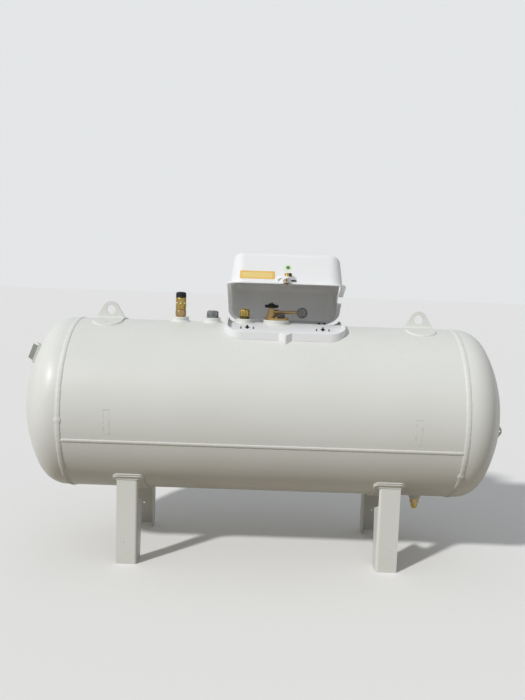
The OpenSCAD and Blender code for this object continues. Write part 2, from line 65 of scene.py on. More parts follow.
def add_node(tree, kind, inputs=None, to=None, **settings):
    """A shader node with its own settings, its sockets set to values or linked to other nodes' sockets, and
    its first output linked on to a socket where one is given."""
    new = tree.nodes.new("ShaderNode" + kind)
    for key, value in settings.items():
        setattr(new, key, value)
    for key, value in (inputs or {}).items():
        if isinstance(value, bpy.types.NodeSocket):
            tree.links.new(value, new.inputs[key])
        else:
            new.inputs[key].default_value = value
    if to:
        tree.links.new(new.outputs[0], to)
    return new


def new_finish(name, colour, roughness, metallic=0.0, **sockets):
    """A material of one surface shader: its colour, roughness and metal, and any other sockets by name."""
    material = bpy.data.materials.new(name)
    material.use_nodes = True
    material.diffuse_color = linear(colour)
    shader = material.node_tree.nodes["Principled BSDF"]
    shader.inputs["Base Color"].default_value = linear(colour)
    shader.inputs["Roughness"].default_value = roughness
    shader.inputs["Metallic"].default_value = metallic
    for key, value in sockets.items():
        shader.inputs[key.replace("_", " ")].default_value = value
    return material, material.node_tree, shader


def coat(material, *names):
    """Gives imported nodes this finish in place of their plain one."""
    for name in names:
        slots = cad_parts[name].data.materials
        slots.clear()
        slots.append(material)


# Sprayed enamel on blasted steel: the gloss coat has an orange peel of 3 mm cells over the faint waves
# of rolled plate. Road dust dulls what faces up, and splashes stain the feet.
enamel, tree, shader = new_finish("sprayed_enamel", "#dddeda", 0.4, Specular_IOR_Level=0.35,
                                  Coat_Weight=0.06, Coat_Roughness=0.13)
place = add_node(tree, "TexCoord").outputs["Object"]
part = add_node(tree, "SeparateXYZ", {"Vector": place})
normal = add_node(tree, "NewGeometry").outputs["Normal"]
facing = add_node(tree, "SeparateXYZ", {"Vector": normal})
# Cloudiness of the coat, in patches about 40 cm across
cloud = add_node(tree, "TexNoise", {"Vector": place, "Scale": cells(385), "Detail": 3.0})
tint = add_node(tree, "MixRGB", {0: cloud.outputs["Fac"], 1: linear("#e1e2de"), 2: linear("#d8d9d3")})
# Dust: specks of about 6 mm, on faces that look up
specks = add_node(tree, "TexNoise",
                  {"Vector": place, "Scale": cells(6.06), "Detail": 4.0, "Roughness": 0.7})
settled = add_node(tree, "MapRange",
                   {"Value": facing.outputs["Z"], "From Min": 0.25, "From Max": 1.0, "To Max": 0.55})
dusty = add_node(tree, "MapRange",
                 {"Value": specks.outputs["Fac"], "From Min": 0.48, "From Max": 0.75, "To Max": 0.6})
dust = add_node(tree, "Math", {0: settled.outputs["Result"], 1: dusty.outputs["Result"]},
                operation="MULTIPLY")
tint = add_node(tree, "MixRGB", {0: dust.outputs["Value"], 1: tint.outputs["Color"], 2: linear("#b9b2a2")})
# Faint splashes of about 17 mm, up to 9 cm over the ground
splash = add_node(tree, "TexNoise",
                  {"Vector": place, "Scale": cells(16.67), "Detail": 6.0, "Roughness": 0.75})
low = add_node(tree, "MapRange",
               {"Value": part.outputs["Z"], "From Min": 0.09, "From Max": 0.0, "To Max": 0.22})
wet = add_node(tree, "MapRange", {"Value": splash.outputs["Fac"], "From Min": 0.45, "From Max": 0.7})
stain = add_node(tree, "Math", {0: low.outputs["Result"], 1: wet.outputs["Result"]}, operation="MULTIPLY")
tint = add_node(tree, "MixRGB", {0: stain.outputs["Value"], 1: tint.outputs["Color"], 2: linear("#9c917c")})
# Grey outlines on the front, 26 mm wide and 108 mm tall, 673 mm to each side of the middle, with gaps
# of about 2 cm, darker than the enamel round them. off holds how far a point lies outside an outline
# across it and up it
mark_x, mark_z, mark_half_w, mark_half_h = 0.673, 0.685, 0.013, 0.054
aside = add_node(tree, "Math", {0: part.outputs["X"]}, operation="ABSOLUTE")
off = []
for start, middle, half in (
        (aside.outputs[0], mark_x, mark_half_w), (part.outputs["Z"], mark_z, mark_half_h)):
    away = add_node(tree, "Math", {0: start, 1: middle}, operation="SUBTRACT")
    away = add_node(tree, "Math", {0: away.outputs[0]}, operation="ABSOLUTE")
    away = add_node(tree, "Math", {0: away.outputs[0], 1: half}, operation="SUBTRACT")
    off.append(away.outputs[0])
edge = add_node(tree, "Math", {0: off[0], 1: off[1]}, operation="MAXIMUM")
edge = add_node(tree, "Math", {0: edge.outputs[0]}, operation="ABSOLUTE")
grey_outline = add_node(tree, "MapRange",
                  {"Value": edge.outputs[0], "From Min": 0.0045, "From Max": 0.001, "To Max": 0.42})
front = add_node(tree, "Math", {0: part.outputs["Y"], 1: -0.1}, operation="LESS_THAN")
grey_outline = add_node(tree, "Math", {0: grey_outline.outputs["Result"], 1: front.outputs[0]}, operation="MULTIPLY")
gaps = add_node(tree, "TexNoise", {"Vector": place, "Scale": cells(22.2), "Detail": 2.0})
broken = add_node(tree, "MapRange", {"Value": gaps.outputs["Fac"], "From Min": 0.42, "From Max": 0.6})
grey_outline = add_node(tree, "Math", {0: grey_outline.outputs[0], 1: broken.outputs["Result"]}, operation="MULTIPLY")
add_node(tree, "MixRGB", {0: grey_outline.outputs[0], 1: tint.outputs["Color"], 2: linear("#a9a9a2")},
         to=shader.inputs["Base Color"])
add_node(tree, "MapRange", {"Value": dust.outputs["Value"], "To Min": 0.4, "To Max": 0.65},
         to=shader.inputs["Roughness"])
waves = add_node(tree, "TexNoise", {"Vector": place, "Scale": cells(222), "Detail": 1.0})
wavy = add_node(tree, "Bump", {"Height": waves.outputs["Fac"], "Strength": 0.3, "Distance": 0.004})
peel = add_node(tree, "TexNoise", {"Vector": place, "Scale": cells(3.03), "Detail": 1.0})
add_node(tree, "Bump", {"Height": peel.outputs["Fac"], "Strength": 0.3, "Distance": 0.0001,
                        "Normal": wavy.outputs["Normal"]}, to=shader.inputs["Normal"])
coat(enamel, *enamelled)

# Girth and seam welds: laid by a submerged arc in the groove between the plates, ground a little flush
# where they start and stop, and painted over. Ripples 3.2 mm apart bow back along both sides.
girth_half_width, girth_height, girth_restarts = 0.0112, 0.0032, (1.9, 2.122)
seam_half_width, seam_height, seam_angle, seam_stop = 0.0078, 0.0032, math.radians(15), 0.006
ripple_pitch, ripple_step, ripple_depth, ripple_bow = 0.0032, 0.0008, 0.13, 0.4
# A bead's wander in size, as the share, length and start of each swing, and its swell at a restart
wanders, swell, swell_length = ((0.05, 0.083, 0.0), (0.04, 0.031, 1.3)), 0.45, 0.012


def new_piece(name, points, faces, finish, body="tank", crease=35):
    """A mesh with coinciding points merged, smooth up to the crease angle, coated and riding its body."""
    points, faces = np.asarray(points, float).reshape(-1, 3), np.asarray(faces, int)
    mesh = bpy.data.meshes.new(name)
    mesh.from_pydata(points.tolist(), [], faces.tolist())
    work = bmesh.new()
    work.from_mesh(mesh)
    bmesh.ops.remove_doubles(work, verts=work.verts, dist=1e-6)
    work.to_mesh(mesh)
    work.free()
    mesh.shade_smooth()
    mesh.set_sharp_from_angle(angle=math.radians(crease))
    mesh.materials.append(finish)
    piece = bpy.data.objects.new(name, mesh)
    bpy.context.scene.collection.objects.link(piece)
    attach(piece, body)
    return piece


def grid_faces(rows, columns, wrap_rows=False, wrap_columns=True):
    """Quads between the points of a grid stored row after row, whose outside is column step x row step."""
    i = np.arange(rows if wrap_rows else rows - 1)[:, None]
    j = np.arange(columns if wrap_columns else columns - 1)[None, :]
    up, on = (i + 1) % rows, (j + 1) % columns
    corners = [i * columns + j, i * columns + on, up * columns + on, up * columns + j]
    return np.stack(corners, -1).reshape(-1, 4)


def unit(vectors):
    """Each vector of an array, made one long."""
    return vectors / np.linalg.norm(vectors, axis=-1, keepdims=True)


def weld_bead(name, path, outward, half_width, height, closed=True, restart=None, around=12):
    """A bead along a path on the plate, a rippled and slightly wandering tube of elliptical section.

    At the running length s and the angle a round the section, a point lies at
    path + w(s) (half_width cos a side + height r sin a outward), where the ripple r is
    1 + depth cos(2 pi (s / pitch + bow cos^2 a)) and w is one plus the wanders. Open ends close to a point,
    and at the length restart the bead swells over itself.
    """
    if closed:
        path, outward = np.vstack([path, path[:1]]), np.vstack([outward, outward[:1]])
    run = np.r_[0.0, np.cumsum(np.linalg.norm(np.diff(path, axis=0), axis=1))]
    total, count = run[-1], int(run[-1] / ripple_step)
    s = np.arange(count) * total / count if closed else np.linspace(0, total, count + 1)
    at = np.stack([np.interp(s, run, path[:, k]) for k in range(3)], 1)
    up = unit(np.stack([np.interp(s, run, outward[:, k]) for k in range(3)], 1))
    ahead = unit(np.roll(at, -3, 0) - np.roll(at, 3, 0) if closed else np.gradient(at, axis=0))
    side = unit(np.cross(ahead, up))
    up = np.cross(side, ahead)
    turns = s / total * 2 * np.pi
    size = 1 + sum(share * np.sin(turns * max(1, round(total / length)) + phase)
                   for share, length, phase in wanders)
    if restart is not None:
        size += swell * np.exp(-((s - restart) / swell_length) ** 2)
    if not closed:
        size *= np.sqrt(np.clip(np.minimum(s, total - s) / (1.5 * half_width), 0, 1))
    a = -2 * np.pi * np.arange(around) / around
    ripples = max(1, round(total / ripple_pitch))
    bowed = turns[:, None] * ripples + 2 * np.pi * ripple_bow * np.cos(a) ** 2
    aside = size[:, None] * half_width * np.cos(a)
    above = size[:, None] * height * (1 + ripple_depth * np.cos(bowed)) * np.sin(a)
    points = at[:, None] + aside[..., None] * side[:, None] + above[..., None] * up[:, None]
    faces = grid_faces(len(s), around, wrap_rows=closed)
    return new_piece(name, points, faces, enamel, crease=60)


def on_tank(x, around):
    """Points at a place along the tank and an angle from its bottom to its rear, and the way out there."""
    x, around = np.broadcast_arrays(np.asarray(x, float), around)
    out = np.stack([0 * x, np.sin(around), -np.cos(around)], -1)
    return out * tank_r + np.stack([x, 0 * x, 0 * x + axis_z], -1), out


once_round = np.linspace(0, 2 * np.pi, 720, endpoint=False)
for (side, end), restart in zip(ends, girth_restarts):
    name = end + "girth_weld"
    path, out = on_tank(side * half_len, once_round)
    piece = weld_bead(name + "_bead", path, out, girth_half_width, girth_height, restart=restart, around=16)
    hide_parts(name)
path, out = on_tank(np.linspace(seam_stop - half_len, half_len - seam_stop, 200), seam_angle - np.pi / 2)
piece = weld_bead("long_seam_weld_bead", path, out, seam_half_width, seam_height, closed=False, around=16)
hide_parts("long_seam_weld")

# Fillet welds of the lug pads and wear pads: one run of stick weld right round each plate's edge, its
# middle a millimetre outside the edge and half a millimetre over the skin below.
leg_pitch, leg_mid, leg_span = 1.186, -0.009, 0.552
lug_pitch, lug_mid, lug_pad_t, wear_pad_t = 1.466, -0.007, 0.006, 0.008
lug_pad_size, lug_pad_corner, lug_pad_bead = (0.132, 0.260), 0.060, (0.0065, 0.0038)
wear_pad_size, wear_pad_corner, wear_pad_bead = (0.136, 0.216), 0.020, (0.0050, 0.0028)
pad_inwards, pad_past_leg = 0.006, 0.016
weld_out, weld_up = 0.001, 0.0005


def plate_outline(length, width, corner, grow=0.0):
    """A round-cornered rectangle as points about its middle and the ways out, in steps of 5 degrees."""
    turn = np.radians(np.arange(0, 360, 5) + 2.5)
    out = np.stack([np.cos(turn), np.sin(turn)], 1)
    centre = np.sign(out) * (np.array([length, width]) / 2 - corner)
    return centre + out * (corner + grow), out


def on_plan(xy, out_xy, radius, upper):
    """Lifts a plan outline on to a skin round the tank's axis, with the way halfway between the skin's way
    out and the outline's."""
    height = np.sqrt(radius**2 - xy[:, 1] ** 2) * (1 if upper else -1)
    skin = np.stack([0 * height, xy[:, 1], height], 1) / radius
    edge = np.column_stack([out_xy, 0 * height])
    edge = unit(edge - skin * np.sum(edge * skin, 1, keepdims=True))
    return np.column_stack([xy, axis_z + height]), unit(skin + edge)


def edge_weld(name, size, corner, middle, skin_r, upper, bead):
    """A bead round the edge of a plate of this plan on a skin of this radius."""
    xy, out = plate_outline(*size, corner, weld_out)
    path, out = on_plan(xy + middle, out, skin_r + weld_up, upper)
    weld_bead(name, path, out, *bead)


for side, end in ends:
    middle = [lug_mid + side * lug_pitch / 2, 0]
    edge_weld(end + "lug_pad_weld", lug_pad_size, lug_pad_corner, middle, tank_r, True, lug_pad_bead)
    for row, row_name in rows:
        middle = [leg_mid + side * (leg_pitch / 2 - pad_inwards),
                  row * (leg_span / 2 + pad_past_leg - wear_pad_size[1] / 2)]
        name = row_name + end + "pad_weld"
        edge_weld(name, wear_pad_size, wear_pad_corner, middle, tank_r, False, wear_pad_bead)

# Fillet welds of the lugs and legs: one run of stick weld round each lug's foot on its pad, and one round
# the upper end of each leg's outer plate under its wear pad.
lug_foot, lug_bead = (0.124, 0.012), (0.0055, 0.0036)
leg_end, leg_bead, cut_corner = (0.097, 0.008), (0.0042, 0.0024), 0.002
for side, end in ends:
    middle = [lug_mid + side * lug_pitch / 2, 0]
    edge_weld(end + "lug_weld", lug_foot, cut_corner, middle, tank_r + lug_pad_t, True, lug_bead)
    for row, row_name in rows:
        middle = [leg_mid + side * leg_pitch / 2, row * (leg_span / 2 - leg_end[1] / 2)]
        name = row_name + end + "leg_weld"
        edge_weld(name, leg_end, cut_corner, middle, tank_r + wear_pad_t, False, leg_bead)

# Threaded bosses: forged collars set on the shell, each with a fillet round its foot. A ring of weld is
# laid on the fillet, a little over half of it out from the collar.
relief_x, plug_x, fill_x, service_x = -0.408, -0.256, -0.104, 0.048
boss_d, service_boss_d, drain_boss_d = 0.078, 0.122, 0.054
boss_top = axis_z + tank_r + 0.021
drain_x, drain_top = half_len - 0.126, axis_z - tank_r - 0.032
boss_fillet, ring_up, ring_bead = 0.008, 0.0008, (0.0042, 0.0022)
for name, x, diameter, upper in (
        ("relief", relief_x, boss_d, True), ("plug", plug_x, boss_d, True), ("fill", fill_x, boss_d, True),
        ("service", service_x, service_boss_d, True), ("drain", drain_x, drain_boss_d, False)):
    out = np.stack([np.cos(once_round[::10]), np.sin(once_round[::10])], 1)
    path, out = on_plan(out * (diameter / 2 + 0.55 * boss_fillet) + [x, 0], out, tank_r + ring_up, upper)
    weld_bead(name + "_boss_weld", path, out, *ring_bead)

# Relief valve: hexagon and body of brass bar. The hexagon has the redder cast of a hot stamping, the body
# is turned bright and yellow, with eight pins round its middle.
bright_brass, tree, shader = new_finish("turned_brass", "#b59a55", 0.3, 1.0)
place = add_node(tree, "TexCoord").outputs["Object"]
# Turning marks, 0.8 mm apart as drawn here because real ones are too fine to show, round the upright axis
lathe = add_node(tree, "Mapping", {"Vector": place, "Scale": (cells(66.7), cells(66.7), cells(0.8))})
marks = add_node(tree, "TexNoise", {"Vector": lathe.outputs["Vector"], "Scale": 1.0, "Detail": 2.0})
add_node(tree, "Bump", {"Height": marks.outputs["Fac"], "Strength": 0.35, "Distance": 0.0002},
         to=shader.inputs["Normal"])
# Tarnish in patches of about 5 mm
patches = add_node(tree, "TexNoise",
                   {"Vector": place, "Scale": cells(4.76), "Detail": 5.0, "Roughness": 0.65})
spread = add_node(tree, "MapRange", {"Value": patches.outputs["Fac"], "From Min": 0.42, "From Max": 0.75})
add_node(tree, "MixRGB", {0: spread.outputs["Result"], 1: linear("#bda462"), 2: linear("#876f3a")},
         to=shader.inputs["Base Color"])
add_node(tree, "MapRange", {"Value": spread.outputs["Result"], "To Min": 0.24, "To Max": 0.48},
         to=shader.inputs["Roughness"])


def mottled_finish(name, colour, light, dark, size_mm, detail, roughness, metallic=0.0, grit=0.5, **sockets):
    """A finish whose colour wanders between two tints, in patches of a size. Gives back the material, its
    tree and shader, the place that its patterns read and the pattern of its patches."""
    material, tree, shader = new_finish(name, colour, roughness, metallic, **sockets)
    place = add_node(tree, "TexCoord").outputs["Object"]
    noise = {"Vector": place, "Scale": cells(size_mm), "Detail": detail, "Roughness": grit}
    patches = add_node(tree, "TexNoise", noise).outputs["Fac"]
    add_node(tree, "MixRGB", {0: patches, 1: linear(light), 2: linear(dark)},
             to=shader.inputs["Base Color"])
    return material, tree, shader, place, patches


# Stamped brass keeps a dull scale from the die, in rough specks of about 3 mm
stamped_brass, tree, shader, _, specks = mottled_finish(
    "stamped_brass", "#ab8f66", "#c9ae80", "#8d724c", size_mm=2.94, detail=4.0, roughness=0.42,
    metallic=1.0, grit=0.7)
add_node(tree, "Bump", {"Height": specks, "Strength": 0.3, "Distance": 0.0003}, to=shader.inputs["Normal"])

round_sections = 96
section = np.arange(round_sections) / round_sections * 2 * np.pi


def hexagon(half_flats, rounds, turn=0.0):
    """Rings of a six-sided bar, from heights and their rounds: the reach is half its width over the cos of
    the angle from the nearest flat's middle, and no further than the round, which chamfers the corners."""
    off = (section - turn) % (np.pi / 3) - np.pi / 6
    return [(height, np.minimum(half_flats / np.cos(off), round_r)) for height, round_r in rounds]


def turned(name, at, rings, finish, body="tank", down=False):
    """A closed shape of rings about an upright axis: each ring is its height and its reach, one or one for
    each section. Both ends are closed by rings of no reach. down turns the shape over, to hang from its
    place."""
    heights = np.array([h for h, _ in rings])
    reach = np.stack([np.broadcast_to(r, (round_sections,)) for _, r in rings])
    heights = np.r_[heights[0], heights, heights[-1]]
    reach = np.vstack([0 * reach[:1], reach, 0 * reach[:1]])
    x, y = reach * np.cos(section), reach * np.sin(section)
    z = np.broadcast_to(heights[:, None], x.shape)
    if down:
        y, z = -y, -z
    points = np.stack([x, y, z], -1) + np.asarray(at)
    return new_piece(name, points, grid_faces(len(heights), round_sections), finish, body)


rounds = [(0.0060, 0.0242), (0.0075, 0.0254), (0.0305, 0.0254), (0.0320, 0.0242)]
rings = [(0.0000, 0.0210), (0.0060, 0.0240), *hexagon(0.0459 / 2, rounds, math.radians(8)), (0.0325, 0.0220)]
piece = turned("relief_valve_hexagon", (relief_x, 0, boss_top), rings, stamped_brass)
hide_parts("relief_valve")
rings = [(0.0320, 0.0218), (0.0345, 0.0218), (0.0350, 0.0230), (0.0365, 0.0245), (0.0410, 0.0247),
         (0.0415, 0.0241), (0.0430, 0.0241), (0.0435, 0.0247), (0.0608, 0.0247), (0.0616, 0.0239),
         (0.0620, 0.0226), (0.0682, 0.0226), (0.0686, 0.0239), (0.0694, 0.0247), (0.0810, 0.0247),
         (0.0814, 0.0241), (0.0822, 0.0241), (0.0826, 0.0247), (0.0885, 0.0246), (0.0900, 0.0238),
         (0.0910, 0.0226)]
piece = turned("relief_valve_body", (relief_x, 0, boss_top), rings, bright_brass)
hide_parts("relief_valve")


def domes(name, centres, ways, radius, rise, finish, body="tank"):
    """Round heads, each a cap of six rings over its seat: at the share t from rim to top the reach is
    radius cos(90 t) and the rise is rise sin(90 t), with a short skirt that runs into the surface below."""
    centres, ways = np.asarray(centres, float), unit(np.asarray(ways, float))
    t, a = np.linspace(0, np.pi / 2, 6), np.arange(20) / 20 * 2 * np.pi
    reach, lift = np.r_[radius, radius * np.cos(t)], np.r_[-rise, rise * np.sin(t)]
    aslant = np.where(np.abs(ways[:, 2:3]) < 0.9, [[0.0, 0.0, 1.0]], [[1.0, 0.0, 0.0]])
    across = unit(np.cross(aslant, ways))
    along = np.cross(ways, across)
    ring = np.cos(a)[None, :, None] * across[:, None] + np.sin(a)[None, :, None] * along[:, None]
    points = (centres[:, None, None] + reach[None, :, None, None] * ring[:, None]
              + lift[None, :, None, None] * ways[:, None, None])
    starts = np.arange(len(centres)) * len(reach) * len(a)
    faces = grid_faces(len(reach), len(a))[None] + starts[:, None, None]
    return new_piece(name, points, faces.reshape(-1, 4), finish, body)


# The pins' ends are coloured nearly white, far paler than brass: a painted reflection of the sky
pin_r, pin_foot, pin_z = 0.0032, 0.0228, boss_top + 0.0651
pin_turn = np.radians(np.arange(8) * 45 - 88)
out = np.stack([np.cos(pin_turn), np.sin(pin_turn), 0 * pin_turn], 1)
pin_reflection_paint = new_finish("brass_pins_painted_reflection", "#fbeec4", 0.3, 0.6)[0]
domes("relief_valve_pins", out * pin_foot + [relief_x, 0, pin_z], out, pin_r, pin_r, pin_reflection_paint)

# Rain cap: pushed on over the relief valve's outlet. It is moulded in black polyethylene, with a flash
# line and a thin lip.
# Black polyethylene is matt and weathers to a grey bloom in patches of 10 mm, over a grain of 0.6 mm
cap_black, tree, shader, place, _ = mottled_finish(
    "black_polyethylene", "#191919", "#0f0f10", "#1e1e1f", size_mm=10, detail=4.0, roughness=0.55,
    Specular_IOR_Level=0.3)
grain = add_node(tree, "TexNoise", {"Vector": place, "Scale": cells(0.625), "Detail": 2.0})
add_node(tree, "Bump", {"Height": grain.outputs["Fac"], "Strength": 0.25, "Distance": 0.0002},
         to=shader.inputs["Normal"])
rings = [(0.0000, 0.0233), (0.0000, 0.0245), (0.0006, 0.0248), (0.0022, 0.0248), (0.0028, 0.0244),
         (0.0120, 0.0243), (0.0124, 0.0246), (0.0130, 0.0246), (0.0134, 0.0243), (0.0180, 0.0242),
         (0.0218, 0.0232), (0.0246, 0.0198), (0.0260, 0.0150), (0.0267, 0.0100), (0.0270, 0.0050)]
relief_top = boss_top + 0.091
piece = turned("relief_rain_cap", (relief_x, 0, relief_top), rings, cap_black)
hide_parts("relief_cap")

# Blanking plug: forged steel with a round collar and a chamfered hexagon, screwed into its boss and
# hot-dip galvanised to a cool grey.
galvanised, tree, shader = new_finish("galvanised_steel", "#85888a", 0.45, 0.35)
place = add_node(tree, "TexCoord").outputs["Object"]
# Galvanising freezes in spangles of about 7 mm, each with its own tone and gloss
spangle = add_node(tree, "TexVoronoi", {"Vector": place, "Scale": cells(6.67)})
tone = add_node(tree, "SeparateXYZ", {"Vector": spangle.outputs["Color"]})
add_node(tree, "MixRGB", {0: tone.outputs["X"], 1: linear("#8f9294"), 2: linear("#626568")},
         to=shader.inputs["Base Color"])
add_node(tree, "MapRange", {"Value": tone.outputs["Y"], "To Min": 0.42, "To Max": 0.62},
         to=shader.inputs["Roughness"])
rounds = [(0.0080, 0.0272), (0.0095, 0.0290), (0.0272, 0.0290), (0.0300, 0.0262)]
rings = [(0.0000, 0.0270), (0.0006, 0.0290), (0.0074, 0.0290), (0.0080, 0.0284),
         *hexagon(0.0502 / 2, rounds, math.radians(20)),
         (0.0303, 0.0235), (0.0325, 0.0212), (0.0330, 0.0195), (0.0322, 0.0150)]
piece = turned("blanking_plug", (plug_x, 0, boss_top), rings, galvanised)
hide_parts("hex_plug")

# Filling valve: a stamped brass hexagon screwed into its boss, under a turned screw cap with eight lobes
# for the fingers.
# Weathered brass goes green and brown with verdigris, in patches of about 8 mm
green_brass = mottled_finish("weathered_brass", "#5f5a3c", "#6e6436", "#3f4a38", size_mm=8.33, detail=5.0,
                             roughness=0.55, metallic=0.85)[0]
rounds = [(0.0000, 0.0222), (0.0012, 0.0230), (0.0088, 0.0230), (0.0100, 0.0218)]
rings = [*hexagon(0.0398 / 2, rounds), (0.0102, 0.0180), (0.0160, 0.0180)]
piece = turned("fill_valve_body", (fill_x, 0, boss_top), rings, green_brass)
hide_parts("fill_valve")
lobes, lobe_depth, fill_cap_z = 8, 0.155, boss_top + 0.012
lobed = 1 - lobe_depth * (0.5 - 0.5 * np.cos(lobes * section)) ** 2
rings = [(0.0000, 0.0184), (0.0000, 0.0235 * lobed), (0.0010, 0.0248 * lobed), (0.0040, 0.0250 * lobed),
         (0.0255, 0.0247 * lobed), (0.0285, 0.0240 * lobed), (0.0305, 0.0224 * lobed), (0.0316, 0.0200),
         (0.0330, 0.0190), (0.0340, 0.0172), (0.0338, 0.0085), (0.0345, 0.0070), (0.0372, 0.0066),
         (0.0380, 0.0055)]
piece = turned("fill_screw_cap", (fill_x, 0, fill_cap_z), rings, bright_brass)
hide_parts("fill_cap")

# Service valve: a stamped brass flange and bonnet under a six-lobed handwheel moulded in black plastic,
# with a galvanised steel nut and washer on the stem.
coat(stamped_brass, "service_valve")
wheel_at = (service_x - 0.024, 0.012, boss_top + 0.056)
lobes, lobe_depth = 6, 0.20
lobed = 1 - lobe_depth * (0.5 - 0.5 * np.cos(lobes * section)) ** 1.5
rings = [(0.0000, 0.0110), (0.0000, 0.0290 * lobed), (0.0020, 0.0318 * lobed), (0.0050, 0.0329 * lobed),
         (0.0090, 0.0329 * lobed), (0.0120, 0.0318 * lobed), (0.0139, 0.0290 * lobed),
         (0.0140, 0.0250 * lobed), (0.0118, 0.0215), (0.0118, 0.0165), (0.0150, 0.0150), (0.0185, 0.0138),
         (0.0200, 0.0118)]
piece = turned("service_handwheel", wheel_at, rings, cap_black)
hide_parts("handwheel")
rounds = [(0.0206, 0.0060), (0.0212, 0.0063), (0.0245, 0.0063), (0.0252, 0.0058)]
rings = [(0.0195, 0.0085), (0.0205, 0.0085), *hexagon(0.0055, rounds)]
turned("handwheel_nut", wheel_at, rings, galvanised)

# Gauges: cases cast in zinc and painted dark grey, with dark dials that carry printed light ticks and
# numbers, a red needle and a pressed lens.
# Stoved paint crinkles in folds of about 1.2 mm, paler on their crests
case_paint, tree, shader, _, crinkle = mottled_finish(
    "stoved_grey_paint", "#343534", "#2b2c2b", "#454643", size_mm=1.25, detail=3.0, roughness=0.5)
add_node(tree, "Bump", {"Height": crinkle, "Strength": 0.4, "Distance": 0.0002}, to=shader.inputs["Normal"])
coat(case_paint, "pressure_gauge", "level_gauge")
# Satin dial and needle paint, matt print, and a clear plastic lens that shines like glass
dial_paint = new_finish("dial_face_paint", "#5b5a52", 0.45)[0]
print_paint = new_finish("dial_print", "#d8d6cc", 0.5)[0]
needle_paint = new_finish("needle_paint", "#a33a2c", 0.45)[0]
lens = new_finish("pressed_lens", "#f4f6f4", 0.06, Transmission_Weight=1.0, IOR=1.49)[0]
pressure_dial_at = (service_x + 0.122, -0.0012, boss_top + 0.036)
level_dial_at = (service_x + 0.018, -0.030, boss_top + 0.0262)
# As shares of a dial's radius: where ticks end, long and short ticks, half a tick's width, the numbers'
# height and their circle. needle_at is a share of the sweep
tick_end, long_tick, short_tick, tick_half_w, number_h, number_r = 0.93, 0.22, 0.11, 0.014, 0.27, 0.55
needle_at, number_relief = 0.32, 0.00012
# Heights over the dial's seat: the face, the ticks' tops, the needle, the numbers and the lens's rim
face_top, tick_top, needle_levels, number_level, lens_rim = 0.0006, 0.0009, (0.0012, 0.0016), 0.0008, 0.0020
# A box from nought to one along each edge, and its six sides
box = np.array([[u, v, w] for u in (0.0, 1.0) for v in (0.0, 1.0) for w in (0.0, 1.0)])
box_sides = np.array([[0, 1, 3, 2], [4, 6, 7, 5], [0, 4, 5, 1], [2, 3, 7, 6], [0, 2, 6, 4], [1, 5, 7, 3]])


